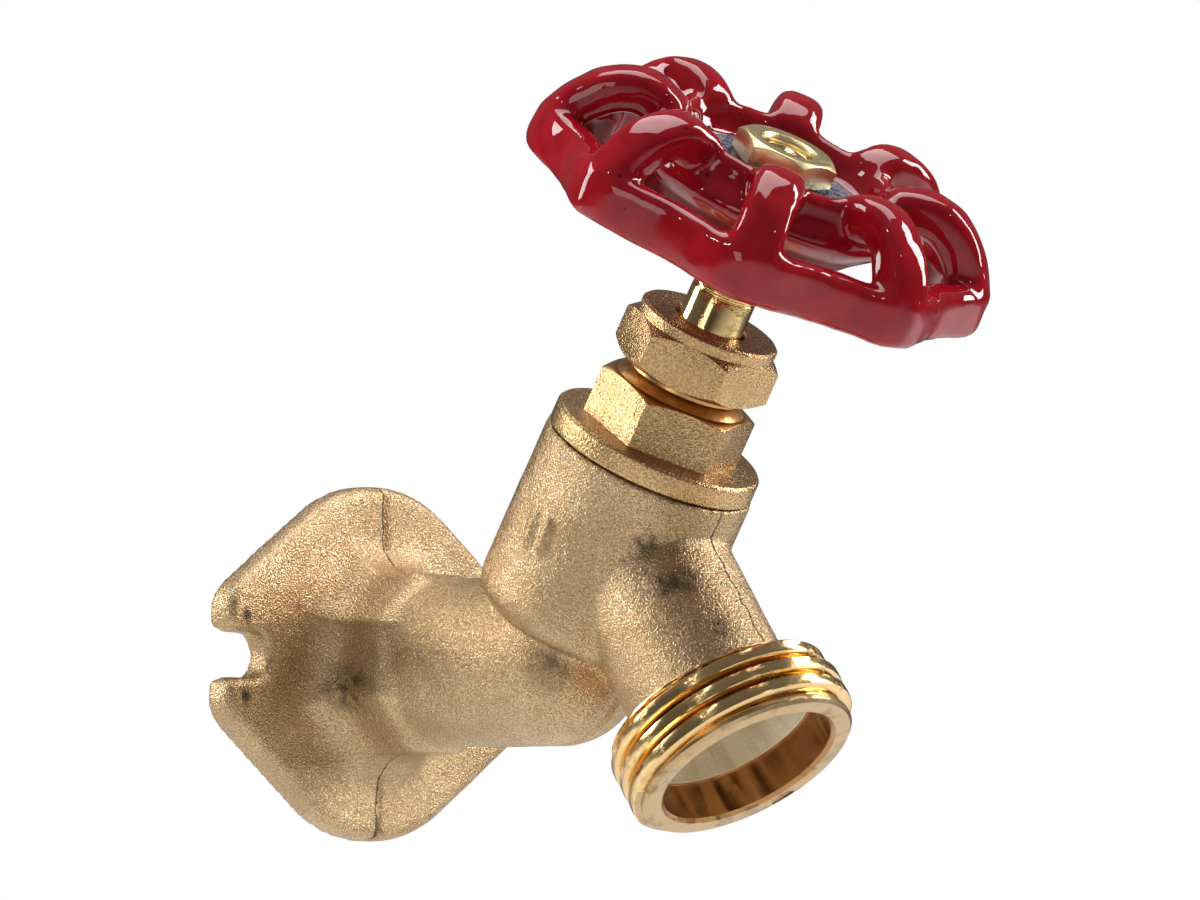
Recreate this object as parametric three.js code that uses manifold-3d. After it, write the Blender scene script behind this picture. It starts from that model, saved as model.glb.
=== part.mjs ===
// Wall-mounted hose bib: a cast brass compression valve with a flanged solder
// inlet, a leaning bonnet and stem, an eight-lobed handwheel and a garden-hose
// outlet. Millimetres and degrees. The origin is the centre of the inlet on
// the flange's wall face, +Z is up and the spout comes out towards -Y.
import * as THREE from 'three';
import { mergeVertices } from 'three/addons/utils/BufferGeometryUtils.js';
import Module from 'manifold-3d';

const wasm = await Module();
wasm.setup();

// The three lines that everything is built on.
const crossingOut = 29.75;   // wall face to where the stem line meets the inlet line
const stemLean = 29.2;       // stem line, out from the vertical
const outletDrop = 55;       // outlet line, down from the horizontal
const outletUp = 17.3;       // outlet line starts this far up the stem line
const gap = 0.3;             // air left between pieces that touch

// Casting, measured from the wall along the inlet line.
const flangeThick = 3.5;
const flangeRound = 19.8;    // radius of the top and bottom edges
const flangeHalfWide = 25.1;
const flangeSideSlope = 34.4;
const flangeEdge = 1.1;      // softened front edge
const notchHalf = 2.5;       // screw notches, half width
const notchAt = 20.9;        // centre of each notch's round end
const collarHalf = 10;       // octagonal wrench collar, half across flats
const collarEnd = 13.1;
const collarFillet = 4;
const inletR = 9.43;
const cupR = 7.97;           // solder cup for 5/8 in outside-diameter tube
const cupDeep = 13;
const inletBoreR = 6.2;

// Barrel, measured along the stem line from the crossing point.
const barrelR = 12.2;
const barrelBottom = 3.8;
const barrelTop = 25.3;
const barrelCorner = 3;
const chamberR = 8.6;
const chamberFloor = 9;
const seatR = 4.8;
const seatLipR = 6.2;
const seatTop = 10.2;
const bonnetBoreR = 9.6;
const bonnetBoreFrom = 17.2;
const gasketSeat = 24.3;
const gasketSeatR = 11.3;

// Outlet, measured along the outlet line.
const neckR = 9.3;
const outletEnd = 33;
const passageR = 7;
const hoseBoreR = 10.06;
const hoseBoreDeep = 4.9;
const threadPitch = 2.209;   // 3/4 in garden hose thread, 11.5 per inch
const threadCrestR = 13.49;
const threadRootR = 12.15;
const rimR = 12.6;
const threadRidges = 3;
const threadShoulder = 24.9;
const threadFirst = 26.5;

// Bonnet, packing and stem, along the stem line.
const discTop = 28;
const discR = 12;
const skirtR = 9.3;
const skirtBottom = 17.5;
const headRoomR = 6.6;
const headRoomTop = 22;
const hexFlats = 15.9;
const bonnetHexTop = 33.8;
const bonnetHexTurn = 20;
const neckTop = 37.6;
const packingNeckR = 6.4;
const nutBottom = 35.7;
const nutHexTop = 41;
const nutTop = 42.35;
const nutCollarR = 8.01;
const nutHexTurn = 2;
const nutWallUnder = 40.9;
const stemR = 3.7;
const stemHoleR = 4.09;
const stemThreadR = 4.7;
const stemThreadTop = 30.2;
const headR = 6.2;
const headBottom = 13.3;
const headTop = 15.3;
const washerR = 5.9;
const washerThick = 2.5;
const screwR = 1.6;
const screwHeadR = 3.4;
const screwTop = 19;

// Handwheel, measured up from its own lower edge.
const wheelAt = 52.3;
const wheelR = 27;
const wheelLobes = 8;
const wheelTurn = 40;
const bandHigh = 6.1;
const bandThick = 3.8;
const lobeThick = 5.6;
const lobeWide = 4.8;
const hubUnder = 1.3;
const hubTop = 8.1;
const squareHalf = 2.55;
const stemEndR = 2.6;
const stemEnd = 63.6;
const plateR = 8.8;
const plateThick = 0.4;
const handleNutFlats = 10.3;
const handleNutTop = 64.2;
const handleNutTurn = 2;

const radians = THREE.MathUtils.degToRad;
const p2 = (x, y) => new THREE.Vector2(x, y);

// --- small tools -----------------------------------------------------------

function solid(geometry) {
  geometry.deleteAttribute('normal');
  geometry.deleteAttribute('uv');
  const merged = mergeVertices(geometry, 1e-4);
  return new wasm.Manifold(new wasm.Mesh({
    numProp: 3,
    vertProperties: new Float32Array(merged.attributes.position.array),
    triVerts: new Uint32Array(merged.index.array),
  }));
}

function geometryOf(manifold) {
  const mesh = manifold.getMesh();
  const geometry = new THREE.BufferGeometry();
  const vertices = new Float32Array(mesh.vertProperties);
  geometry.setAttribute('position', new THREE.BufferAttribute(vertices, 3));
  geometry.setIndex(new THREE.BufferAttribute(new Uint32Array(mesh.triVerts), 1));
  return geometry;
}

// A turned solid about +Z. The profile is [radius, height] points, listed
// upwards along the outside.
function turned(profile, sides = 40, start = 0) {
  const points = profile.map(([r, h]) => p2(r, h));
  return new THREE.LatheGeometry(points, sides, start).rotateX(Math.PI / 2);
}

function rod(radius, from, to, sides = 40) {
  return turned([[0, from], [radius, from], [radius, to], [0, to]], sides);
}

function ring(inner, outer, from, to, sides = 40) {
  const corners = [[inner, from], [outer, from], [outer, to], [inner, to], [inner, from]];
  return turned(corners, sides);
}

function hexagon(flats, from, to, turnDegrees) {
  const across = flats / Math.cos(Math.PI / 6) / 2;
  const shape = new THREE.CylinderGeometry(across, across, to - from, 6);
  shape.rotateX(Math.PI / 2);
  shape.rotateZ(radians(turnDegrees - 30));
  return shape.translate(0, 0, (from + to) / 2);
}

// Hexagon with its upper corners turned off by a cone.
function cornered(flats, from, to, turnDegrees, crown) {
  const corner = flats / Math.cos(Math.PI / 6) / 2;
  const flat = flats / 2;
  const drop = (corner - flat) * crown;
  const cone = turned([[0, from - 1], [corner + 1, from - 1], [corner + 1, to - drop],
    [corner, to - drop], [flat - 0.2, to], [0, to]], 48);
  return solid(hexagon(flats, from, to, turnDegrees)).intersect(solid(cone));
}

const onStem = (geometry) => geometry
  .rotateX(radians(stemLean))
  .translate(0, -crossingOut, 0);

const onOutlet = (geometry) => onStem(
  geometry.rotateX(radians(90 + outletDrop - stemLean)).translate(0, 0, outletUp));

const onInlet = (geometry) => geometry.rotateX(Math.PI / 2);

// --- the casting -----------------------------------------------------------

function flangeOutline() {
  const tangent = radians(90 - flangeSideSlope);
  const cornerX = flangeRound * Math.cos(tangent);
  const cornerZ = flangeRound * Math.sin(tangent);
  const fall = Math.tan(radians(flangeSideSlope));
  const tipZ = cornerZ - (flangeHalfWide - cornerX) * fall;
  const prong = (tipZ + notchHalf) / 2;
  const easeX = flangeHalfWide - 2.2;
  const easeZ = cornerZ - (easeX - cornerX) * fall;
  const shape = new THREE.Shape();
  shape.moveTo(notchAt, notchHalf);
  shape.lineTo(easeX, notchHalf);
  shape.quadraticCurveTo(flangeHalfWide, notchHalf, flangeHalfWide, prong);
  shape.quadraticCurveTo(flangeHalfWide, tipZ, easeX, easeZ);
  shape.absarc(0, 0, flangeRound, tangent, Math.PI - tangent);
  shape.lineTo(-easeX, easeZ);
  shape.quadraticCurveTo(-flangeHalfWide, tipZ, -flangeHalfWide, prong);
  shape.quadraticCurveTo(-flangeHalfWide, notchHalf, -easeX, notchHalf);
  shape.lineTo(-notchAt, notchHalf);
  shape.absarc(-notchAt, 0, notchHalf, Math.PI / 2, -Math.PI / 2, true);
  shape.lineTo(-easeX, -notchHalf);
  shape.quadraticCurveTo(-flangeHalfWide, -notchHalf, -flangeHalfWide, -prong);
  shape.quadraticCurveTo(-flangeHalfWide, -tipZ, -easeX, -easeZ);
  shape.absarc(0, 0, flangeRound, Math.PI + tangent, 2 * Math.PI - tangent);
  shape.lineTo(easeX, -easeZ);
  shape.quadraticCurveTo(flangeHalfWide, -tipZ, flangeHalfWide, -prong);
  shape.quadraticCurveTo(flangeHalfWide, -notchHalf, easeX, -notchHalf);
  shape.lineTo(notchAt, -notchHalf);
  shape.absarc(notchAt, 0, notchHalf, -Math.PI / 2, Math.PI / 2, true);
  return shape;
}

function flange() {
  const plate = new THREE.ExtrudeGeometry(flangeOutline(), {
    depth: flangeThick - flangeEdge,
    bevelThickness: flangeEdge,
    bevelSize: flangeEdge,
    bevelOffset: -flangeEdge,
    bevelSegments: 3,
    curveSegments: 12,
  });
  const wall = new THREE.BoxGeometry(80, 80, 10).translate(0, 0, -5);
  return solid(onInlet(plate)).subtract(solid(onInlet(wall)));
}

function collar() {
  const toCorner = 1 / Math.cos(Math.PI / 8);
  const profile = [[0, 1]];
  profile.push([(collarHalf + collarFillet) * toCorner, 1]);
  for (let i = 0; i <= 5; i += 1) {
    const a = (i / 5) * Math.PI / 2;
    const r = collarHalf + collarFillet * (1 - Math.sin(a));
    profile.push([r * toCorner, flangeThick + collarFillet * (1 - Math.cos(a))]);
  }
  profile.push([collarHalf * toCorner, collarEnd - 1]);
  profile.push([(collarHalf - 1) * toCorner, collarEnd]);
  profile.push([0, collarEnd]);
  return solid(onInlet(turned(profile, 8, Math.PI / 8)));
}

function barrel() {
  const profile = [[0, barrelBottom]];
  for (let i = 0; i <= 4; i += 1) {
    const a = (i / 4) * Math.PI / 2;
    profile.push([
      barrelR - barrelCorner * (1 - Math.sin(a)),
      barrelBottom + barrelCorner * (1 - Math.cos(a)),
    ]);
  }
  profile.push([barrelR, barrelTop], [0, barrelTop]);
  return solid(onStem(turned(profile, 56)));
}

// The neck, its shoulder and the hose thread's ridges.
function spout() {
  const flatHalf = threadPitch * 0.11;
  const profile = [[0, 0], [neckR, 0], [neckR, threadShoulder - 0.8],
    [rimR, threadShoulder], [rimR, threadShoulder + 0.5]];
  for (let i = 0; i < threadRidges; i += 1) {
    const crest = threadFirst + threadPitch * i;
    profile.push([threadRootR, crest - threadPitch * 0.4]);
    profile.push([threadCrestR, crest - flatHalf]);
    profile.push([threadCrestR, crest + flatHalf]);
    profile.push([threadRootR, crest + threadPitch * 0.4]);
  }
  profile.push([rimR, outletEnd - 0.9], [rimR, outletEnd], [0, outletEnd]);
  return solid(onOutlet(turned(profile, 48)));
}

// A rod along the inlet line whose far end is rounded about the crossing point.
function roundEnded(radius, from, sides) {
  const profile = [[0, from], [radius, from]];
  const steps = sides / 4;
  for (let i = 0; i <= steps; i += 1) {
    const a = (i / steps) * Math.PI / 2;
    profile.push([radius * Math.cos(a), crossingOut + radius * Math.sin(a)]);
  }
  profile[profile.length - 1][0] = 0;
  return solid(onInlet(turned(profile, sides)));
}

// Everything that is hollow inside the casting.
function waterway() {
  const cup = onInlet(rod(cupR, -1, cupDeep, 36));
  const seatHole = onStem(rod(seatR, 0, seatTop + 1, 32));
  const chamber = onStem(turned([[0, chamberFloor], [seatR - 1, chamberFloor],
    [seatR - 1, seatTop], [seatLipR, seatTop], [seatLipR + 0.4, chamberFloor],
    [chamberR, chamberFloor], [chamberR, bonnetBoreFrom], [bonnetBoreR, bonnetBoreFrom],
    [bonnetBoreR, gasketSeat], [gasketSeatR, gasketSeat], [gasketSeatR, barrelTop + 1],
    [0, barrelTop + 1]], 44));
  const bore = outletEnd - hoseBoreDeep;
  const outlet = onOutlet(turned([[0, 5], [passageR, 5], [passageR, bore - 7],
    [hoseBoreR - 0.5, bore], [hoseBoreR, bore], [hoseBoreR, outletEnd - 0.4],
    [hoseBoreR + 0.5, outletEnd + 0.1], [hoseBoreR + 0.5, outletEnd + 1],
    [0, outletEnd + 1]], 44));
  const inlet = roundEnded(inletBoreR, cupDeep - 1, 28);
  return [inlet, ...[cup, seatHole, chamber, outlet].map(solid)];
}

function valveBody() {
  const tube = roundEnded(inletR, 1, 44);
  let body = flange().add(collar()).add(tube).add(barrel()).add(spout());
  for (const hollow of waterway()) {
    body = body.subtract(hollow);
  }
  return geometryOf(body);
}

// --- bonnet and packing ----------------------------------------------------

function bonnet() {
  const under = barrelTop + gap;
  const turnedPart = turned([[0, skirtBottom], [skirtR - 0.4, skirtBottom],
    [skirtR, skirtBottom + 0.4], [skirtR, under], [discR, under], [discR, discTop - 0.4],
    [discR - 0.4, discTop], [packingNeckR, discTop], [packingNeckR, neckTop], [0, neckTop]], 48);
  const bore = turned([[0, skirtBottom - 1], [headRoomR, skirtBottom - 1],
    [headRoomR, headRoomTop], [stemThreadR + gap, headRoomTop],
    [stemThreadR + gap, neckTop + 1], [0, neckTop + 1]], 36);
  const hex = cornered(hexFlats, discTop - 0.5, bonnetHexTop, bonnetHexTurn, 0.35);
  return geometryOf(solid(turnedPart).add(hex).subtract(solid(bore)));
}

function packingNut() {
  const hex = cornered(hexFlats, nutBottom, nutHexTop, nutHexTurn, 0.8);
  const collarPart = turned([[0, nutHexTop - 2], [nutCollarR - 0.3, nutHexTop - 2],
    [nutCollarR, nutTop - 0.5], [nutCollarR - 0.35, nutTop], [0, nutTop]], 48);
  const bore = turned([[0, nutBottom - 1], [packingNeckR + gap, nutBottom - 1],
    [packingNeckR + gap, nutWallUnder], [stemHoleR, nutWallUnder],
    [stemHoleR, nutTop + 1], [0, nutTop + 1]], 40);
  return geometryOf(hex.add(solid(collarPart)).subtract(solid(bore)));
}

const packingWasher = () => ring(stemHoleR, packingNeckR - 0.1,
  neckTop + gap, neckTop + gap + 0.6);

const stemPacking = () => ring(stemR + gap, packingNeckR - 0.1,
  neckTop + 2 * gap + 0.6, nutWallUnder - gap);

const bonnetGasket = () => ring(bonnetBoreR + 0.3, gasketSeatR - 0.3,
  gasketSeat + gap, barrelTop, 48);

// --- stem, washer and screw ------------------------------------------------

function stem() {
  const hubFrom = wheelAt + hubUnder;
  const hubTo = wheelAt + hubTop;
  const shaft = turned([[0, headBottom], [headR, headBottom], [headR, headTop - 0.4],
    [headR - 0.4, headTop], [stemThreadR, headTop], [stemThreadR, stemThreadTop],
    [stemR, stemThreadTop + 1], [stemR, hubFrom - gap], [0, hubFrom - gap]], 40);
  const square = new THREE.BoxGeometry(2 * squareHalf, 2 * squareHalf, hubTo - hubFrom + 0.5)
    .translate(0, 0, (hubFrom + hubTo - 0.5) / 2)
    .rotateZ(radians(wheelTurn));
  const end = turned([[0, hubTo - 1], [stemEndR - 0.4, hubTo - 1], [stemEndR - 0.4, hubTo - 0.6],
    [stemEndR, hubTo], [stemEndR, stemEnd - 0.4], [stemEndR - 0.4, stemEnd], [0, stemEnd]], 24);
  const screwHole = rod(screwR + gap, headBottom - 1, screwTop + gap, 20);
  return geometryOf(solid(shaft).add(solid(square)).add(solid(end)).subtract(solid(screwHole)));
}

const washerBottom = headBottom - gap - washerThick;

const seatWasher = () => turned([[screwR + gap, washerBottom], [washerR, washerBottom],
  [washerR, washerBottom + washerThick], [screwR + gap, washerBottom + washerThick],
  [screwR + gap, washerBottom]], 40);

function washerScrew() {
  const under = washerBottom - gap;
  const shape = solid(turned([[0, under - 1.4], [screwHeadR - 0.7, under - 1.4],
    [screwHeadR, under - 0.6], [screwHeadR, under], [screwR, under], [screwR, screwTop],
    [0, screwTop]], 28));
  const slot = new THREE.BoxGeometry(10, 0.9, 1.4).translate(0, 0, under - 1.4);
  return geometryOf(shape.subtract(solid(slot)));
}

// --- handwheel -------------------------------------------------------------

// The rim's plan: full radius at each lobe, drawn in between them.
function rimOutline(inset, path) {
  const steps = wheelLobes * 8;
  const points = [];
  for (let i = 0; i < steps; i += 1) {
    const a = (i / steps) * 2 * Math.PI;
    const wave = (1 - Math.cos(wheelLobes * a)) / 2;
    const r = wheelR - inset - 2.7 * Math.pow(wave, 0.8);
    points.push(p2(r * Math.cos(a), r * Math.sin(a)));
  }
  return path.setFromPoints(points);
}

function rimBand() {
  const shape = rimOutline(0, new THREE.Shape());
  shape.holes.push(rimOutline(bandThick, new THREE.Path()));
  const edge = 1.3;
  const band = new THREE.ExtrudeGeometry(shape, {
    depth: bandHigh - 2 * edge,
    bevelThickness: edge,
    bevelSize: edge,
    bevelOffset: -edge,
    bevelSegments: 3,
  });
  return solid(band.translate(0, 0, edge));
}

// One finger lobe: a square bar with soft corners that stands on the rim,
// arches over and comes down on the inner ring.
function lobe(index) {
  const barAt = wheelR - lobeThick / 2;
  const route = new THREE.CatmullRomCurve3([
    new THREE.Vector3(barAt, 0, 1.9),
    new THREE.Vector3(barAt, 0, 4.6),
    new THREE.Vector3(barAt - 1.3, 0, 7.2),
    new THREE.Vector3(barAt - 3.8, 0, 9.8),
    new THREE.Vector3(barAt - 6.7, 0, 11),
    new THREE.Vector3(barAt - 9.4, 0, 10.6),
    new THREE.Vector3(barAt - 11.2, 0, 9.4),
  ]);
  const x = lobeThick / 2;
  const y = lobeWide / 2;
  const soft = 1.5;
  const section = new THREE.Shape();
  section.moveTo(x, soft - y);
  section.lineTo(x, y - soft);
  section.quadraticCurveTo(x, y, x - soft, y);
  section.lineTo(soft - x, y);
  section.quadraticCurveTo(-x, y, -x, y - soft);
  section.lineTo(-x, soft - y);
  section.quadraticCurveTo(-x, -y, soft - x, -y);
  section.lineTo(x - soft, -y);
  section.quadraticCurveTo(x, -y, x, soft - y);
  const bar = new THREE.ExtrudeGeometry(section, {
    steps: 12,
    curveSegments: 2,
    bevelEnabled: false,
    extrudePath: route,
  });
  bar.rotateZ((index / wheelLobes) * 2 * Math.PI);
  return solid(bar);
}

// The flared hub shell with the raised inner ring that the lobes land on.
function hubShell() {
  return solid(turned([[0, hubUnder], [9.6, hubUnder], [10.4, 1.7], [12.6, 3.6], [15.4, 5.7],
    [15.9, 6.3], [15.6, 6.9], [14, 8.9], [14, 10.2], [13.5, 11], [12.7, 11.3], [11.9, 10.8],
    [10.8, hubTop], [0, hubTop]], 48));
}

function handwheel() {
  let wheel = rimBand().add(hubShell());
  for (let i = 0; i < wheelLobes; i += 1) {
    wheel = wheel.add(lobe(i));
  }
  const hole = new THREE.BoxGeometry(2 * (squareHalf + gap), 2 * (squareHalf + gap), 30);
  return geometryOf(wheel.subtract(solid(hole)))
    .rotateZ(radians(wheelTurn))
    .translate(0, 0, wheelAt);
}

const plateFrom = wheelAt + hubTop + gap;

const indexPlate = () => ring(stemEndR + gap, plateR, plateFrom, plateFrom + plateThick, 48);

function handleNut() {
  const from = plateFrom + plateThick + gap;
  const hex = cornered(handleNutFlats, from, handleNutTop, handleNutTurn, 0.9);
  const bore = rod(stemEndR + gap, from - 1, handleNutTop + 1, 24);
  const chamfer = turned([[0, handleNutTop - 0.5], [stemEndR + gap, handleNutTop - 0.5],
    [stemEndR + gap + 0.6, handleNutTop + 0.1], [0, handleNutTop + 0.1]], 24);
  return geometryOf(hex.subtract(solid(bore)).subtract(solid(chamfer)));
}

// --- assembly --------------------------------------------------------------

const castBrass = { color: 0xa9814f, roughness: 0.5, metalness: 1 };
const turnedBrass = { color: 0xcfa24c, roughness: 0.2, metalness: 1 };
const redEnamel = { color: 0x8c0d18, roughness: 0.12, metalness: 0.1 };
const blackRubber = { color: 0x1c1c1c, roughness: 0.8, metalness: 0 };
const greyFibre = { color: 0x4a4f55, roughness: 0.85, metalness: 0 };
const plateMetal = { color: 0x8d979f, roughness: 0.35, metalness: 0.8 };

function piece(name, geometry, look) {
  const mesh = new THREE.Mesh(geometry, new THREE.MeshStandardMaterial(look));
  mesh.name = name;
  return mesh;
}

const group = new THREE.Group();
group.add(piece('valve_body', valveBody(), castBrass));

const stemLine = new THREE.Group();
stemLine.position.set(0, -crossingOut, 0);
stemLine.rotation.x = radians(stemLean);
stemLine.add(piece('bonnet_gasket', bonnetGasket(), greyFibre));
stemLine.add(piece('bonnet', bonnet(), castBrass));
stemLine.add(piece('packing_washer', packingWasher(), turnedBrass));
stemLine.add(piece('stem_packing', stemPacking(), greyFibre));
stemLine.add(piece('packing_nut', packingNut(), castBrass));
stemLine.add(piece('stem', stem(), turnedBrass));
stemLine.add(piece('seat_washer', seatWasher(), blackRubber));
stemLine.add(piece('seat_washer_screw', washerScrew(), turnedBrass));
stemLine.add(piece('handwheel', handwheel(), redEnamel));
stemLine.add(piece('index_plate', indexPlate(), plateMetal));
stemLine.add(piece('handle_nut', handleNut(), turnedBrass));
group.add(stemLine);

export default group;
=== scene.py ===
# A wall-mounted garden hose bib: a sand-cast brass valve body with a flanged solder
# inlet, a bonnet and packing nut, a rising stem, a red enamelled handwheel and a
# machined hose thread. Lengths are in metres and angles in degrees.
from math import atan2, cos, exp, pi, radians

import bpy
from mathutils import Euler, Matrix, Vector


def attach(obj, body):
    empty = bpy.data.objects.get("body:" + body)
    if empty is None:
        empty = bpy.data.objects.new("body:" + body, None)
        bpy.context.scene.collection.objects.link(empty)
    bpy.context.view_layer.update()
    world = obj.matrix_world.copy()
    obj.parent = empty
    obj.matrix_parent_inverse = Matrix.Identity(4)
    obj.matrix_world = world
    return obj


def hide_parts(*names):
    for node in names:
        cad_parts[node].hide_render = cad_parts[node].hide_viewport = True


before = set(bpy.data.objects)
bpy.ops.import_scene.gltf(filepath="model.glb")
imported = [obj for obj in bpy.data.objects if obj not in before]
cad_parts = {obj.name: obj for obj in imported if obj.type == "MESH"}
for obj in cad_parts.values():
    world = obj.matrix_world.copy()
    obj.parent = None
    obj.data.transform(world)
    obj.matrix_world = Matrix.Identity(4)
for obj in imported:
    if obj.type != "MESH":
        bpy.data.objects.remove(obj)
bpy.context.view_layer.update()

MM = 0.001

# --- Studio ---------------------------------------------------------------------------
# A long lens from the left of the spout, a little below it. Soft boxes on the left,
# overhead, low in front and on the right, with two small bright spots for the glints,
# over a plain pale floor.
camera_turn = Euler((radians(93.328), radians(-1.261), radians(-49.668)))
camera_far = 1.565
camera_aim = Vector((1.46, -33.57, 23.38)) * MM
bpy.ops.object.camera_add(
    location=camera_aim + camera_turn.to_matrix() @ Vector((0, 0, camera_far)),
    rotation=camera_turn,
)
camera = bpy.context.object
camera.data.sensor_width = 36
camera.data.lens = 425.5
bpy.context.scene.camera = camera
bpy.context.scene.view_settings.view_transform = "Standard"


def soft_box(name, sideways, height, forwards, wide, high, watts):
    """A flat lamp placed in metres beside, above and before the valve as the camera
    sees it, and aimed at the valve."""
    place = camera_aim + camera_turn.to_matrix() @ Vector((sideways, height, forwards))
    facing = (place - camera_aim).to_track_quat("Z", "Y")
    bpy.ops.object.light_add(type="AREA", location=place, rotation=facing.to_euler())
    lamp = bpy.context.object
    lamp.name = name
    lamp.data.shape = "RECTANGLE"
    lamp.data.size = wide
    lamp.data.size_y = high
    lamp.data.energy = watts


soft_box("left_soft_box", -1.0, 0.45, -0.15, 0.4, 0.8, 9.0)
soft_box("front_soft_box", -0.45, 0.1, 1.1, 0.35, 0.5, 1.3)
soft_box("top_soft_box", 0.1, 1.0, -0.2, 0.9, 0.7, 8.0)
soft_box("right_strip", 0.9, 0.4, -0.35, 0.25, 0.8, 8.0)
soft_box("left_spot", -0.7, 0.9, 0.8, 0.05, 0.05, 0.5)
soft_box("right_spot", 0.8, 0.6, 0.9, 0.05, 0.05, 0.3)

world = bpy.data.worlds.new("studio")
bpy.context.scene.world = world
world.use_nodes = True
sky = world.node_tree
sky.nodes.clear()
direction = sky.nodes.new("ShaderNodeTexCoord")
split = sky.nodes.new("ShaderNodeSeparateXYZ")
fade = sky.nodes.new("ShaderNodeValToRGB")
fade.color_ramp.elements[0].position = 0.35
fade.color_ramp.elements[0].color = (0.035, 0.03, 0.028, 1)
fade.color_ramp.elements[1].position = 0.9
fade.color_ramp.elements[1].color = (0.30, 0.30, 0.31, 1)
height = sky.nodes.new("ShaderNodeMapRange")
height.inputs["From Min"].default_value = -1
room = sky.nodes.new("ShaderNodeBackground")
room.inputs["Strength"].default_value = 0.5
paper = sky.nodes.new("ShaderNodeBackground")
paper.inputs["Color"].default_value = (1, 1, 1, 1)
seen = sky.nodes.new("ShaderNodeLightPath")
choice = sky.nodes.new("ShaderNodeMixShader")
outside = sky.nodes.new("ShaderNodeOutputWorld")
sky.links.new(direction.outputs["Generated"], split.inputs["Vector"])
sky.links.new(split.outputs["Z"], height.inputs["Value"])
sky.links.new(height.outputs["Result"], fade.inputs["Fac"])
sky.links.new(fade.outputs["Color"], room.inputs["Color"])
sky.links.new(seen.outputs["Is Camera Ray"], choice.inputs["Fac"])
sky.links.new(room.outputs["Background"], choice.inputs[1])
sky.links.new(paper.outputs["Background"], choice.inputs[2])
sky.links.new(choice.outputs["Shader"], outside.inputs["Surface"])

floor_drop = -0.2
bpy.ops.mesh.primitive_plane_add(size=6, location=(0, 0, floor_drop))
floor = bpy.context.object
floor.name = "floor"
bpy.ops.object.transform_apply(location=True, rotation=True, scale=True)
floor_paint = bpy.data.materials.new("pale_floor")
floor_paint.use_nodes = True
floor_look = floor_paint.node_tree.nodes["Principled BSDF"].inputs
floor_look["Base Color"].default_value = (0.8, 0.8, 0.8, 1)
floor_look["Roughness"].default_value = 0.9
floor.data.materials.append(floor_paint)

# --- Valve body -----------------------------------------------------------------------
# One brass sand casting: the notched wall flange, the eight-sided wrench collar, the
# inlet tube, the barrel and the outlet neck, all run together with soft cast fillets.
# The hose end of it is machined, so it is made as its own piece after this one.
crossing = Vector((0, -29.75, 0)) * MM
stem_lean = radians(29.2)
stem_place = Matrix.Translation(crossing) @ Matrix.Rotation(stem_lean, 4, "X")
outlet_turn = radians(115.8)
outlet_place = stem_place @ Matrix.Translation((0, 0, 17.3 * MM)) @ Matrix.Rotation(
    outlet_turn, 4, "X")


def alone(piece):
    """Selects this piece and nothing else, ready for an operator."""
    bpy.ops.object.select_all(action="DESELECT")
    piece.select_set(True)
    bpy.context.view_layer.objects.active = piece


def worked(piece, kind, **settings):
    """Puts one modifier on a piece and applies it."""
    alone(piece)
    step = piece.modifiers.new(kind.title(), kind)
    for setting, value in settings.items():
        setattr(step, setting, value)
    bpy.ops.object.modifier_apply(modifier=step.name)


def from_frame(name, node):
    """A welded copy of a CAD node, to be worked further."""
    piece = bpy.data.objects.new(name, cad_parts[node].data.copy())
    bpy.context.scene.collection.objects.link(piece)
    piece.data.materials.clear()
    alone(piece)
    bpy.ops.object.mode_set(mode="EDIT")
    bpy.ops.mesh.select_all(action="SELECT")
    bpy.ops.mesh.remove_doubles(threshold=0.002 * MM)
    bpy.ops.object.mode_set(mode="OBJECT")
    return piece


def turned(name, outline, place=None, steps=96, sweep=360):
    """A lathe-turned shape: an outline of (radius, height) points in millimetres goes
    round the Z axis, all the way or for part of a turn, then moves to its place."""
    shape = bpy.data.meshes.new(name)
    points = [(radius * MM, 0, height * MM) for radius, height in outline]
    shape.from_pydata(points, [(i, i + 1) for i in range(len(points) - 1)], [])
    piece = bpy.data.objects.new(name, shape)
    bpy.context.scene.collection.objects.link(piece)
    alone(piece)
    bpy.ops.object.mode_set(mode="EDIT")
    bpy.ops.mesh.select_all(action="SELECT")
    bpy.ops.mesh.spin(steps=steps, angle=radians(sweep), center=(0, 0, 0), axis=(0, 0, 1))
    bpy.ops.mesh.select_all(action="SELECT")
    bpy.ops.mesh.remove_doubles(threshold=0.002 * MM)
    if sweep < 360:
        bpy.ops.mesh.select_all(action="DESELECT")
        bpy.ops.mesh.select_non_manifold()
        bpy.ops.mesh.edge_face_add()
        bpy.ops.mesh.select_all(action="SELECT")
    bpy.ops.mesh.normals_make_consistent(inside=False)
    bpy.ops.object.mode_set(mode="OBJECT")
    if place:
        settled(piece, place)
    return piece


def settled(piece, place):
    """Moves a piece to its place on the valve and leaves its object at the origin."""
    alone(piece)
    piece.matrix_world = place
    bpy.ops.object.transform_apply(location=True, rotation=True, scale=True)


def combined(piece, other, how):
    """Joins, cuts or trims a piece with another shape, which is used up."""
    worked(piece, "BOOLEAN", object=other, operation=how, solver="EXACT")
    bpy.data.objects.remove(other)


def softened(piece, wide, segments=2, sharper_than=32):
    """Breaks every sharp edge by a small width and shades the rest smooth."""
    worked(piece, "BEVEL", width=wide * MM, segments=segments, limit_method="ANGLE",
           angle_limit=radians(sharper_than), use_clamp_overlap=True)
    bpy.ops.object.shade_smooth_by_angle(angle=radians(40))


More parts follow.
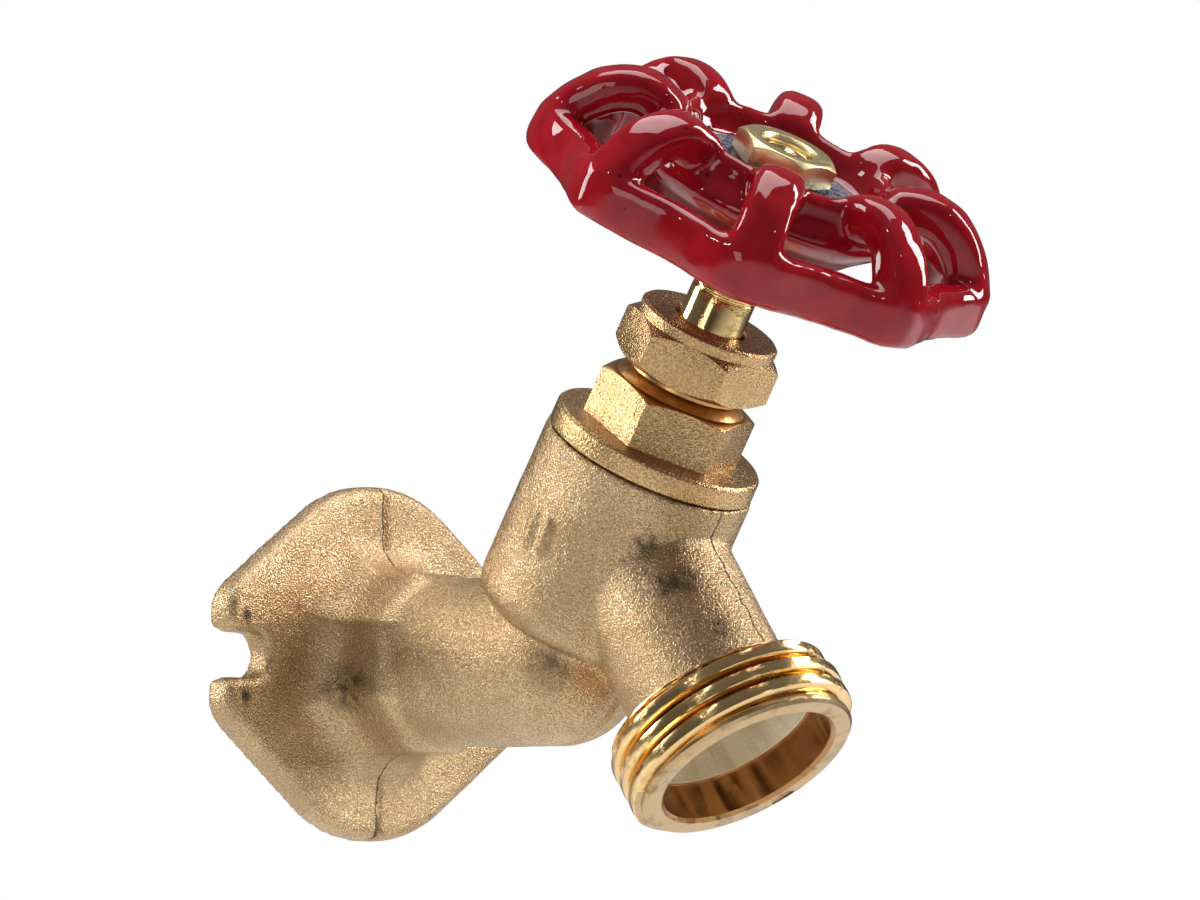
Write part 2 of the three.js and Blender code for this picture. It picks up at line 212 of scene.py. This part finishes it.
neck_cut, past_hose_end, past_thread = 24.5, 40, 18
casting = from_frame("body_casting", "valve_body")
combined(casting, turned("hose_end_cut", [
    (0, neck_cut), (past_thread, neck_cut), (past_thread, past_hose_end),
    (0, past_hose_end)], outlet_place), "DIFFERENCE")
worked(casting, "REMESH", mode="VOXEL", voxel_size=0.42 * MM)
worked(casting, "SMOOTH", factor=0.5, iterations=6)

# Sand leaves the skin faintly uneven, the two halves of the mould leave a fine cleft in
# the middle plane, and the barrel carries a plain two-bar foundry tally. The back of
# the flange stays flat on the wall.
sand_swell = bpy.data.textures.new("sand_swell", "CLOUDS")
sand_swell.noise_scale = 3.2 * MM
sand_swell.noise_depth = 2
worked(casting, "DISPLACE", texture=sand_swell, texture_coords="LOCAL",
       strength=0.11 * MM, mid_level=0.6)

seam_half, seam_depth = 0.4 * MM, 0.34 * MM
barrel_radius = 12.2
tally_turn, tally_height, tally_lean = 176.5, 15.2, 0.2
bar_rise, bar_aside, bar_half, bar_reach = 0.5 * MM, 1.15, 0.55, 2.0
to_stem = stem_place.inverted()
to_outlet = outlet_place.inverted()
for vertex in casting.data.vertices:
    spot = vertex.co
    spot.y = min(spot.y, 0.0)
    along_stem = to_stem @ spot
    along_outlet = to_outlet @ spot
    lift = 0.0
    on_flange = spot.y > -3.9 * MM and spot.y < -2.2 * MM
    on_neck = along_outlet.z > 7 * MM and along_outlet.z < 24 * MM and along_outlet.y < 0
    if (on_flange or on_neck) and vertex.normal.y < 0.6:
        lift -= seam_depth * exp(-(spot.x / seam_half) ** 2)
    turn = (atan2(along_stem.y, along_stem.x) * 180 / pi) % 360
    across = radians(turn - tally_turn) * barrel_radius
    up = along_stem.z / MM - tally_height
    outside = along_stem.x ** 2 + along_stem.y ** 2 > (11.6 * MM) ** 2
    if outside and abs(across) < 3 and abs(up) < 3:
        bars = max(exp(-((across + bar_aside + tally_lean * up) / bar_half) ** 4),
                   exp(-((across - bar_aside + tally_lean * up) / bar_half) ** 4))
        lift += bar_rise * bars * exp(-(up / bar_reach) ** 8)
    if lift:
        vertex.co = spot + vertex.normal * lift
alone(casting)
bpy.ops.object.shade_smooth()


def node(tree, kind, settings=None, **inputs):
    """One shader node: its settings, then a value or an incoming socket for each input."""
    made = tree.nodes.new("ShaderNode" + kind)
    for setting, value in (settings or {}).items():
        setattr(made, setting, value)
    for name, value in inputs.items():
        socket = made.inputs[name.replace("_", " ")]
        if isinstance(value, bpy.types.NodeSocket):
            tree.links.new(value, socket)
        else:
            socket.default_value = value
    return made


def sums(tree, operation, first, second):
    """A maths node on two values or sockets, as an output socket."""
    made = tree.nodes.new("ShaderNodeMath")
    made.operation = operation
    for socket, value in zip(made.inputs, (first, second)):
        if isinstance(value, bpy.types.NodeSocket):
            tree.links.new(value, socket)
        else:
            socket.default_value = value
    return made.outputs["Value"]


def blended(tree, factor, first, second, how="MIX"):
    """Mixes two colours or colour sockets by a mask."""
    made = tree.nodes.new("ShaderNodeMix")
    made.data_type = "RGBA"
    made.blend_type = how
    for socket, value in ((made.inputs[0], factor), (made.inputs[6], first),
                          (made.inputs[7], second)):
        if isinstance(value, bpy.types.NodeSocket):
            tree.links.new(value, socket)
        else:
            socket.default_value = value if socket is made.inputs[0] else (*value, 1)
    return made.outputs[2]


def ranged(tree, value, low, high, to_low=0.0, to_high=1.0):
    """Stretches a value between two levels into a mask with soft ends."""
    made = node(tree, "MapRange", {"interpolation_type": "SMOOTHSTEP"}, Value=value,
                From_Min=low, From_Max=high, To_Min=to_low, To_Max=to_high)
    return made.outputs["Result"]


def effect_group(name, inputs, outputs):
    """An empty shader node group with named number inputs and outputs."""
    group = bpy.data.node_groups.new(name, "ShaderNodeTree")
    for label, value in inputs.items():
        kind = "NodeSocketVector" if value is None else "NodeSocketFloat"
        socket = group.interface.new_socket(label, in_out="INPUT", socket_type=kind)
        if value is not None:
            socket.default_value = value
    for label in outputs:
        group.interface.new_socket(label, in_out="OUTPUT", socket_type="NodeSocketFloat")
    entry = group.nodes.new("NodeGroupInput")
    leave = group.nodes.new("NodeGroupOutput")
    return group, entry.outputs, leave.inputs


def placed_group(tree, group, **inputs):
    """Puts a shared effect into a material with its own values."""
    made = tree.nodes.new("ShaderNodeGroup")
    made.node_tree = group
    for name, value in inputs.items():
        socket = made.inputs[name.replace("_", " ")]
        if isinstance(value, bpy.types.NodeSocket):
            tree.links.new(value, socket)
        else:
            socket.default_value = value
    return made.outputs


def finish_named(name):
    """A new material and its tree, with the shader ready to be fed."""
    material = bpy.data.materials.new(name)
    material.use_nodes = True
    tree = material.node_tree
    return material, tree, tree.nodes["Principled BSDF"]


def feed(tree, shader, **inputs):
    """Sets or links the shader's own sockets."""
    for name, value in inputs.items():
        socket = shader.inputs[name.replace("_", " ")]
        if isinstance(value, bpy.types.NodeSocket):
            tree.links.new(value, socket)
        else:
            socket.default_value = value


# Sand-cast skin: fine grit, scattered pits and slow swells, with a tone that drifts.
cast_skin, skin_in, skin_out = effect_group(
    "cast_skin", {"Grit Scale": 4200.0}, ("Height", "Tone", "Grit"))
spot = node(cast_skin, "TexCoord").outputs["Object"]
grit = node(cast_skin, "TexNoise", Vector=spot, Scale=skin_in["Grit Scale"], Detail=1.5,
            Roughness=0.5).outputs["Fac"]
pits = node(cast_skin, "TexVoronoi", Vector=spot,
            Scale=sums(cast_skin, "MULTIPLY", skin_in["Grit Scale"], 0.55)).outputs["Distance"]
swell = node(cast_skin, "TexNoise", Vector=spot, Scale=430.0, Detail=3.0).outputs["Fac"]
blotch = node(cast_skin, "TexNoise", Vector=spot, Scale=90.0, Detail=5.0,
              Roughness=0.6).outputs["Fac"]
rough = sums(cast_skin, "ADD", sums(cast_skin, "MULTIPLY", grit, 1.2),
             sums(cast_skin, "MULTIPLY", pits, 0.35))
cast_skin.links.new(sums(cast_skin, "ADD", rough, sums(cast_skin, "MULTIPLY", swell, 0.9)),
                    skin_out["Height"])
cast_skin.links.new(ranged(cast_skin, blotch, 0.32, 0.7), skin_out["Tone"])
cast_skin.links.new(ranged(cast_skin, grit, 0.34, 0.62), skin_out["Grit"])


def cast_brass(name, light, dark, depth, rough, grit_scale=4200.0, marks=(), cracked=False):
    """Sand-cast brass in two tones, grittier where the depth is greater. It can carry
    soot stains, spots of painted shade, and a dark crack where the halves of the mould met."""
    material, tree, shader = finish_named(name)
    skin = placed_group(tree, cast_skin, Grit_Scale=grit_scale)
    colour = blended(tree, skin["Tone"], dark, light)
    shade = blended(tree, skin["Grit"], tuple(c * 0.72 for c in dark), colour)
    here = node(tree, "TexCoord").outputs["Object"]
    smear = node(tree, "TexNoise", Vector=here, Scale=700.0, Detail=4.0).outputs["Fac"]
    # Each mark darkens the colour round its middle; some are soot stains and some are painted
    # shade in recesses.
    for x, y, z, size in marks:
        away = node(tree, "VectorMath", {"operation": "DISTANCE"}, Vector=here)
        away.inputs[1].default_value = (x * MM, y * MM, z * MM)
        near = ranged(tree, away.outputs["Value"], size * 0.3 * MM, size * 1.5 * MM,
                      1.0, 0.0)
        stain_and_shade = sums(tree, "MULTIPLY", near, ranged(tree, smear, 0.38, 0.62, 0.25, 0.95))
        shade = blended(tree, stain_and_shade, shade, (0.07, 0.055, 0.035))
    if cracked:
        place = node(tree, "SeparateXYZ", Vector=here).outputs
        wander = sums(tree, "MULTIPLY", sums(tree, "SUBTRACT", smear, 0.5), 1.3 * MM)
        aside = sums(tree, "ABSOLUTE", sums(tree, "ADD", place["X"], wander), 0.0)
        line = ranged(tree, aside, 0.05 * MM, 0.24 * MM, 0.9, 0.0)
        ends = sums(tree, "MAXIMUM", ranged(tree, place["Y"], -10.0 * MM, -8.5 * MM),
                    ranged(tree, place["Y"], -48.0 * MM, -46.5 * MM, 1.0, 0.0))
        shade = blended(tree, sums(tree, "MULTIPLY", line, ends), shade, (0.05, 0.035, 0.02))
    bump = node(tree, "Bump", Strength=1.0, Distance=depth * MM, Height=skin["Height"])
    feed(tree, shader, Base_Color=shade, Metallic=0.9,
         Roughness=ranged(tree, skin["Grit"], 0.0, 1.0, rough + 0.12, rough - 0.06),
         Normal=bump.outputs["Normal"])
    return material


# Soot left by the mould, on the outlet neck and at the flange's notch tips, and two larger
# spots of painted shade, in the crotch between barrel and outlet and low beside the
# collar: each mark's middle and radius in millimetres.
stains_and_painted_shade = [
    (-7.1, -50.4, 7.9, 1.5), (-5.4, -52.0, 8.4, 1.5), (-4.6, -56.4, 3.1, 1.1),
    (-7.2, -47.7, 12.2, 1.6), (-9.3, -35.5, -1.7, 2.6), (-22.6, -3.5, 4.4, 0.8),
    (-22.6, -3.5, -4.6, 0.9), (-10.5, -7.5, -3.5, 3.0)]
body_brass = cast_brass("cast_body_brass", (0.80, 0.57, 0.33), (0.55, 0.37, 0.19), 0.12, 0.3,
                        grit_scale=5200.0, marks=stains_and_painted_shade, cracked=True)
casting.data.materials.append(body_brass)
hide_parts("valve_body")
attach(casting, "valve")

# --- Hose outlet ----------------------------------------------------------------------
# The end of the casting, turned on a lathe: a shoulder, a single-start hose thread cut
# round it, a plain rim, and a bore for the hose washer that opens to the cast cone.
thread_pitch, thread_root, thread_foot = 2.209, 12.15, 11.9
thread_from, thread_turns = 25.55, 2.95
outlet = turned("hose_outlet", [
    (7.95, 23.5), (8.9, 23.5), (9.35, 24.2), (12.2, 24.72), (12.75, 24.95), (12.78, 25.2),
    (thread_root, 25.45), (thread_root, 31.75), (12.45, 31.95), (12.6, 32.15), (12.6, 32.65),
    (12.25, 33.0), (10.5, 33.0), (10.08, 32.6), (10.06, 28.25), (9.85, 28.1), (9.5, 28.1),
    (7.95, 23.5)], steps=128)
ridge = bpy.data.meshes.new("thread_ridge")
ridge_outline = [(thread_foot, -1.03), (12.4, -0.96), (13.3, -0.72), (13.45, -0.6),
                 (13.49, 0), (13.45, 0.6), (13.3, 0.72), (12.4, 0.96), (thread_foot, 1.03)]
ridge.from_pydata([(r * MM, 0, (thread_from + h) * MM) for r, h in ridge_outline],
                  [(i, (i + 1) % len(ridge_outline)) for i in range(len(ridge_outline))], [])
thread = bpy.data.objects.new("thread_ridge", ridge)
bpy.context.scene.collection.objects.link(thread)
steps_a_turn = 96
worked(thread, "SCREW", angle=2 * pi * thread_turns,
       screw_offset=thread_pitch * thread_turns * MM,
       steps=int(steps_a_turn * thread_turns), render_steps=int(steps_a_turn * thread_turns))
last_step = len(thread.data.vertices) // len(ridge_outline) - 1
run_out = 26
for index, vertex in enumerate(thread.data.vertices):
    step = index // len(ridge_outline)
    fade_in = min(1.0, step / run_out, (last_step - step) / run_out)
    radius = Vector((vertex.co.x, vertex.co.y)).length
    shrunk = (thread_foot * MM + (radius - thread_foot * MM) * fade_in) / radius
    vertex.co.x *= shrunk
    vertex.co.y *= shrunk
alone(thread)
bpy.ops.object.mode_set(mode="EDIT")
bpy.ops.mesh.select_all(action="DESELECT")
bpy.ops.mesh.select_non_manifold()
bpy.ops.mesh.edge_face_add()
bpy.ops.mesh.select_all(action="SELECT")
bpy.ops.mesh.normals_make_consistent(inside=False)
bpy.ops.object.mode_set(mode="OBJECT")
combined(outlet, thread, "UNION")
settled(outlet, outlet_place)
softened(outlet, 0.1, segments=2, sharper_than=38)

# Lathe marks: rings about an axis that the material's Mapping node lays along Z, and
# nicks and smears from handling.
lathe_marks, lathe_in, lathe_out = effect_group(
    "lathe_marks", {"Along": None}, ("Rings", "Wear"))
apart = node(lathe_marks, "SeparateXYZ", Vector=lathe_in["Along"]).outputs
radius_here = sums(lathe_marks, "SQRT", sums(
    lathe_marks, "ADD", sums(lathe_marks, "MULTIPLY", apart["X"], apart["X"]),
    sums(lathe_marks, "MULTIPLY", apart["Y"], apart["Y"])), 0.0)
ring_spot = node(lathe_marks, "CombineXYZ", X=radius_here, Y=apart["Z"],
                 Z=0.0).outputs["Vector"]
rings = node(lathe_marks, "TexNoise", Vector=ring_spot, Scale=9000.0,
             Detail=2.0).outputs["Fac"]
wear = node(lathe_marks, "TexNoise", Vector=lathe_in["Along"], Scale=420.0, Detail=5.0,
            Roughness=0.65).outputs["Fac"]
lathe_marks.links.new(rings, lathe_out["Rings"])
lathe_marks.links.new(ranged(lathe_marks, wear, 0.5, 0.75), lathe_out["Wear"])


def turned_brass(name, bright, dull, place, marks, rough):
    """Machined brass about the axis of a place on the valve."""
    material, tree, shader = finish_named(name)
    spin_axis = node(tree, "Mapping", {"vector_type": "TEXTURE"},
                     Vector=node(tree, "TexCoord").outputs["Object"],
                     Location=place.to_translation(), Rotation=place.to_euler())
    lathe = placed_group(tree, lathe_marks, Along=spin_axis.outputs["Vector"])
    bump = node(tree, "Bump", Strength=1.0, Distance=marks * MM, Height=lathe["Rings"])
    dents = node(tree, "Bump", {"invert": True}, Strength=1.0, Distance=0.03 * MM,
                 Height=lathe["Wear"], Normal=bump.outputs["Normal"])
    feed(tree, shader, Base_Color=blended(tree, lathe["Wear"], bright, dull), Metallic=1.0,
         Roughness=ranged(tree, lathe["Wear"], 0.0, 1.0, rough, rough + 0.22),
         Normal=dents.outputs["Normal"])
    return material


thread_brass = turned_brass("machined_thread_brass", (0.90, 0.62, 0.28), (0.50, 0.31, 0.13),
                            outlet_place, 0.004, 0.18)
bore_brass = turned_brass("machined_bore_brass", (0.50, 0.26, 0.10), (0.34, 0.17, 0.06),
                          outlet_place, 0.012, 0.3)
rim_brass = turned_brass("faced_rim_brass", (0.60, 0.42, 0.22), (0.34, 0.21, 0.10),
                         outlet_place, 0.012, 0.3)
# The cast cone at the foot of the bore: painted light, a pale cream matte colour in place of
# brass, standing for the bright light the cone reflects.
throat_painted_light, tree, shader = finish_named("throat_cream_painted_light")
throat_skin = placed_group(tree, cast_skin, Grit_Scale=5000.0)
throat_bump = node(tree, "Bump", Strength=1.0, Distance=0.06 * MM,
                   Height=throat_skin["Height"])
feed(tree, shader, Metallic=0.0, Roughness=0.5, Normal=throat_bump.outputs["Normal"],
     Base_Color=blended(tree, throat_skin["Tone"], (0.93, 0.78, 0.48), (0.98, 0.89, 0.64)))
for finish in (thread_brass, bore_brass, rim_brass, throat_painted_light):
    outlet.data.materials.append(finish)
washer_seat, rim_from = 28.15, 32.1
for face in outlet.data.polygons:
    middle = to_outlet @ face.center
    off_axis = Vector((middle.x, middle.y)).length
    if middle.z > washer_seat * MM and off_axis < 10.3 * MM:
        face.material_index = 1
    elif middle.z > rim_from * MM:
        face.material_index = 2
    elif off_axis < 9.9 * MM and middle.z < (washer_seat + 0.05) * MM:
        face.material_index = 3
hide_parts("valve_body")
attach(outlet, "valve")

# --- Bonnet gasket --------------------------------------------------------------------
# A thin tan fibre ring under the bonnet's disc. Only its edge shows, as a fine line.


def fibrous(name, light, dark, scale, rough):
    """A dull, faintly fibrous material for the soft seals."""
    material, tree, shader = finish_named(name)
    place = node(tree, "TexCoord").outputs["Object"]
    fibre = node(tree, "TexNoise", Vector=place, Scale=scale, Detail=6.0, Roughness=0.7)
    bump = node(tree, "Bump", Strength=0.7, Distance=0.04 * MM, Height=fibre.outputs["Fac"])
    feed(tree, shader, Base_Color=blended(tree, fibre.outputs["Fac"], dark, light),
         Roughness=rough, Normal=bump.outputs["Normal"])
    return material


def refinished(piece_name, material):
    """Gives a CAD node that stays in view its real finish."""
    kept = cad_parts[piece_name]
    kept.data.materials.clear()
    kept.data.materials.append(material)


refinished("bonnet_gasket", fibrous("gasket_fibre_tan", (0.36, 0.25, 0.14),
                                    (0.20, 0.13, 0.07), 2600.0, 0.9))

# --- Bonnet ---------------------------------------------------------------------------
# A brass casting screwed into the barrel: a skirt, a disc that closes the barrel, a
# wrench hexagon whose upper corners are lightly turned, and a polished neck for the
# packing nut.


def hexagon(name, flats, low, high, turn, crown_low, crown_high):
    """A hexagon across its flats, its corners turned off by a cone at either end. A
    plain end has no cone. The two shapes never end in one plane, which keeps the cut
    closed and the same each time."""
    corner = flats / cos(pi / 6) / 2
    flat = flats / 2
    spare = 1
    foot = low - spare if crown_low else low
    top = high + spare if crown_high else high
    bpy.ops.object.select_all(action="DESELECT")
    bpy.ops.mesh.primitive_cylinder_add(
        vertices=6, radius=corner * MM, depth=(top - foot) * MM,
        location=(0, 0, (foot + top) / 2 * MM), rotation=(0, 0, radians(turn - 30)))
    piece = bpy.context.object
    piece.name = name
    bpy.ops.object.transform_apply(location=True, rotation=True, scale=True)
    outside, drop = corner + 0.1, corner - flat
    if crown_low:
        outline = [(0, low), (flat - 0.15, low), (outside, low + drop * crown_low)]
    else:
        outline = [(0, low - spare), (outside, low - spare)]
    if crown_high:
        outline += [(outside, high - drop * crown_high), (flat - 0.15, high), (0, high)]
    else:
        outline += [(outside, high + spare), (0, high + spare)]
    combined(piece, turned(name + "_corners", outline), "INTERSECT")
    return piece


bonnet = turned("bonnet_cast", [
    (6.6, 17.5), (8.9, 17.5), (9.3, 17.9), (9.3, 25.33), (11.85, 25.33), (12.0, 25.5),
    (12.0, 27.65), (11.7, 28.0), (7.6, 28.0), (7.6, 33.7), (6.7, 34.75), (6.4, 34.9),
    (6.4, 37.3), (6.1, 37.6), (5.0, 37.6), (5.0, 22.0), (6.6, 22.0), (6.6, 17.5)])
wrench_flats = 15.9
bonnet_hex = hexagon("bonnet_hex", wrench_flats, 27.6, 33.8, 20, 0, 0.45)
combined(bonnet_hex, turned("bonnet_hole", [
    (0, 20), (5.6, 20), (5.6, 40), (0, 40)]), "DIFFERENCE")
combined(bonnet, bonnet_hex, "UNION")
settled(bonnet, stem_place)
softened(bonnet, 0.16)
bonnet_brass = cast_brass("cast_bonnet_brass", (0.84, 0.55, 0.28), (0.60, 0.38, 0.17),
                          0.085, 0.25, grit_scale=4600.0)
neck_polish = turned_brass("polished_neck_brass", (0.66, 0.36, 0.13), (0.44, 0.22, 0.08),
                           stem_place, 0.003, 0.3)
bonnet.data.materials.append(bonnet_brass)
bonnet.data.materials.append(neck_polish)
polished_from = 33.5
for face in bonnet.data.polygons:
    middle = to_stem @ face.center
    if middle.z > polished_from * MM:
        face.material_index = 1
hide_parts("bonnet")
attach(bonnet, "valve")

# --- Stem, seat washer and screw ------------------------------------------------------
# A turned brass stem: a head that holds the rubber washer by a screw, a coarse thread
# inside the bonnet, a polished shaft with two fine grooves, and a square for the wheel.
stem_outline = [(0, 19.3), (1.9, 19.3), (1.9, 13.3), (6.0, 13.3), (6.2, 13.5), (6.2, 14.9),
                (5.8, 15.3), (4.2, 15.3)]
stem_pitch = 2.54
for ridge_number in range(5):
    foot = 16.4 + stem_pitch * ridge_number
    stem_outline += [(4.2, foot), (4.7, foot + 0.6), (4.7, foot + 1.3), (4.2, foot + 1.9)]
stem_outline += [(4.2, 30.2), (3.7, 31.2), (3.7, 45.95), (3.45, 46.05), (3.45, 46.3),
                 (3.7, 46.4), (3.7, 46.65), (3.45, 46.75), (3.45, 47.0), (3.74, 47.1),
                 (3.85, 47.2), (3.85, 53.3), (0, 53.3)]
stem = turned("stem_turned", stem_outline)
bpy.ops.object.select_all(action="DESELECT")
bpy.ops.mesh.primitive_cube_add(
    size=1, location=(0, 0, 56.6 * MM), rotation=(0, 0, radians(40)),
    scale=(5.1 * MM, 5.1 * MM, 6.9 * MM))
wheel_square = bpy.context.object
bpy.ops.object.transform_apply(location=True, rotation=True, scale=True)
combined(stem, wheel_square, "UNION")
stem_end = [(0, 59.5), (2.3, 59.5)]
for ridge_number in range(4):
    foot = 60.2 + 0.75 * ridge_number
    stem_end += [(2.3, foot), (2.6, foot + 0.3), (2.3, foot + 0.6)]
stem_end += [(2.45, 63.3), (2.2, 63.6), (0.9, 63.6), (0.5, 63.35), (0, 63.2)]
combined(stem, turned("stem_end", stem_end), "UNION")
settled(stem, stem_place)
softened(stem, 0.05, segments=1)
stem_brass = turned_brass("polished_stem_brass", (0.93, 0.68, 0.30), (0.62, 0.42, 0.18),
                          stem_place, 0.002, 0.1)
stem.data.materials.append(stem_brass)
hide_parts("stem")
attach(stem, "spindle")
refinished("seat_washer_screw", stem_brass)
refinished("seat_washer", fibrous("seat_rubber_black", (0.03, 0.03, 0.03),
                                  (0.012, 0.012, 0.012), 1500.0, 0.65))

# --- Packing and packing nut ----------------------------------------------------------
# Graphite packing under a thin brass washer seals the stem. The cast nut that squeezes
# it has turned corners at both ends and a raised round collar.
refinished("packing_washer", stem_brass)
refinished("stem_packing", fibrous("packing_graphite", (0.10, 0.10, 0.11),
                                   (0.03, 0.03, 0.035), 2200.0, 0.55))
nut = hexagon("packing_nut_cast", wrench_flats, 35.7, 41.0, 2, 0.75, 0.8)
combined(nut, turned("nut_collar", [(0, 39), (7.75, 39), (8.01, 41.7), (8.01, 42.05),
                                    (7.7, 42.35), (0, 42.35)]), "UNION")
combined(nut, turned("nut_bore", [
    (0, 35), (7.1, 35), (6.7, 36.1), (6.7, 40.9), (4.09, 40.9), (4.09, 42.1),
    (4.35, 42.4), (4.35, 43), (0, 43)]), "DIFFERENCE")
settled(nut, stem_place)
softened(nut, 0.16)
nut.data.materials.append(bonnet_brass)
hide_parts("packing_nut")
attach(nut, "valve")

# --- Handwheel ------------------------------------------------------------------------
# Cast metal dipped in red enamel: eight finger lobes on a scalloped rim, arching in to a
# raised ring and a flared hub. The thick enamel rounds every corner and pools a little,
# and a thin web of casting flash partly closes one window.
wheel = from_frame("handwheel_enamelled", "handwheel")
worked(wheel, "DISPLACE", strength=0.16 * MM, mid_level=0.0)
flash_from, flash_sweep = 148, 32
flash = turned("casting_flash", [
    (11, 53.6), (22.5, 53.6), (22.5, 55.3), (11, 55.6), (11, 53.6)],
    stem_place @ Matrix.Rotation(radians(flash_from), 4, "Z"), sweep=flash_sweep)
alone(wheel)
flash.select_set(True)
bpy.ops.object.join()
worked(wheel, "REMESH", mode="VOXEL", voxel_size=0.4 * MM)
worked(wheel, "SMOOTH", factor=0.5, iterations=32)
enamel_runs = bpy.data.textures.new("enamel_runs", "CLOUDS")
enamel_runs.noise_scale = 4.5 * MM
enamel_runs.noise_depth = 1
worked(wheel, "DISPLACE", texture=enamel_runs, texture_coords="LOCAL", strength=0.4 * MM,
       mid_level=0.75)
worked(wheel, "SMOOTH", factor=0.5, iterations=2)
alone(wheel)
bpy.ops.object.shade_smooth()

enamel, tree, shader = finish_named("dipped_red_enamel")
spot = node(tree, "TexCoord").outputs["Object"]
runs = node(tree, "TexNoise", Vector=spot, Scale=330.0, Detail=1.5).outputs["Fac"]
peel = node(tree, "TexNoise", Vector=spot, Scale=1100.0, Detail=1.0).outputs["Fac"]
specks = node(tree, "TexVoronoi", Vector=spot, Scale=330.0).outputs["Distance"]
speck = ranged(tree, specks, 0.055, 0.1, 1.0, 0.0)
run_bump = node(tree, "Bump", Strength=1.0, Distance=0.05 * MM, Height=runs)
peel_bump = node(tree, "Bump", Strength=1.0, Distance=0.002 * MM, Height=peel,
                 Normal=run_bump.outputs["Normal"])
depth = blended(tree, ranged(tree, runs, 0.35, 0.7),
                (0.32, 0.005, 0.011), (0.40, 0.007, 0.016))

# Painted shade: low down inside the rim, in the shade of the plate and the rim, the enamel is
# painted darker and made rougher and less glossy.
wheel_axis = node(tree, "Mapping", {"vector_type": "TEXTURE"}, Vector=spot,
                  Location=stem_place.to_translation(), Rotation=stem_place.to_euler())
up_stem = node(tree, "SeparateXYZ", Vector=wheel_axis.outputs["Vector"]).outputs["Z"]
flat_spot = node(tree, "VectorMath", {"operation": "MULTIPLY"},
                 Vector=wheel_axis.outputs["Vector"])
flat_spot.inputs[1].default_value = (1, 1, 0)
off_stem = node(tree, "VectorMath", {"operation": "LENGTH"},
                Vector=flat_spot.outputs["Vector"]).outputs["Value"]
inside = sums(tree, "MULTIPLY", ranged(tree, off_stem, 20 * MM, 23 * MM, 1.0, 0.0),
              ranged(tree, up_stem, 56 * MM, 57.5 * MM, 1.0, 0.0))
# Painted shade inside the rim: the colour there goes to a dark red.
depth = blended(tree, inside, depth, (0.15, 0.002, 0.005))
feed(tree, shader, Base_Color=blended(tree, speck, depth, (0.09, 0.002, 0.006)),
     Roughness=ranged(tree, inside, 0.0, 1.0, 0.035, 0.5), Normal=peel_bump.outputs["Normal"])
tree.links.new(ranged(tree, inside, 0.0, 1.0, 0.5, 0.12), shader.inputs["Specular IOR Level"])
wheel.data.materials.append(enamel)
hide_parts("handwheel")
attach(wheel, "spindle")

# --- Index plate ----------------------------------------------------------------------
# A thin stamped metal disc under the handle nut, with a rolled edge and a plain printed
# ring of ticks.
plate = turned("index_plate_stamped", [
    (2.9, 60.72), (8.3, 60.72), (8.7, 60.8), (8.8, 60.95), (8.65, 61.08), (8.3, 61.1),
    (7.9, 61.02), (3.4, 61.02), (3.2, 61.1), (2.9, 61.1), (2.9, 60.72)], stem_place)
softened(plate, 0.03, segments=1)
plate_metal, tree, shader = finish_named("printed_plate_metal")
face = node(tree, "Mapping", {"vector_type": "TEXTURE"},
            Vector=node(tree, "TexCoord").outputs["Object"], Location=crossing,
            Rotation=(stem_lean, 0, 0)).outputs["Vector"]
axes = node(tree, "SeparateXYZ", Vector=face).outputs
out = node(tree, "VectorMath", {"operation": "LENGTH"}, Vector=node(
    tree, "CombineXYZ", X=axes["X"], Y=axes["Y"], Z=0.0).outputs["Vector"]).outputs["Value"]
spin = sums(tree, "ARCTAN2", axes["Y"], axes["X"])
tick_count = 24.0
tick_wave = sums(tree, "COSINE", sums(tree, "MULTIPLY", spin, tick_count), 0.0)
tick = sums(tree, "GREATER_THAN", tick_wave, 0.6)
in_band = sums(tree, "MULTIPLY", sums(tree, "GREATER_THAN", out, 6.5 * MM),
               sums(tree, "LESS_THAN", out, 7.5 * MM))
in_ring = sums(tree, "MULTIPLY", sums(tree, "GREATER_THAN", out, 5.6 * MM),
               sums(tree, "LESS_THAN", out, 6.0 * MM))
printed = sums(tree, "MAXIMUM", sums(tree, "MULTIPLY", tick, in_band), in_ring)
brushed = node(tree, "TexNoise", Vector=face, Scale=1800.0, Detail=3.0)
feed(tree, shader,
     Base_Color=blended(tree, printed, (0.42, 0.50, 0.60), (0.02, 0.025, 0.035)),
     Metallic=sums(tree, "SUBTRACT", 1.0, printed),
     Roughness=ranged(tree, brushed.outputs["Fac"], 0.3, 0.7, 0.22, 0.4))
plate.data.materials.append(plate_metal)
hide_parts("index_plate")
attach(plate, "spindle")

# --- Handle nut -----------------------------------------------------------------------
# A small pressed brass hexagon that holds the wheel on the stem, satin on top.
handle_nut = hexagon("handle_nut_pressed", 10.3, 61.4, 64.2, 2, 0.3, 0.9)
combined(handle_nut, turned("handle_nut_bore", [
    (0, 61), (2.9, 61), (2.9, 63.7), (3.45, 64.25), (3.45, 65), (0, 65)]), "DIFFERENCE")
settled(handle_nut, stem_place)
softened(handle_nut, 0.12)
handle_nut.data.materials.append(turned_brass(
    "satin_nut_brass", (0.70, 0.57, 0.30), (0.52, 0.40, 0.20), stem_place, 0.006, 0.34))
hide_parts("handle_nut")
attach(handle_nut, "spindle")
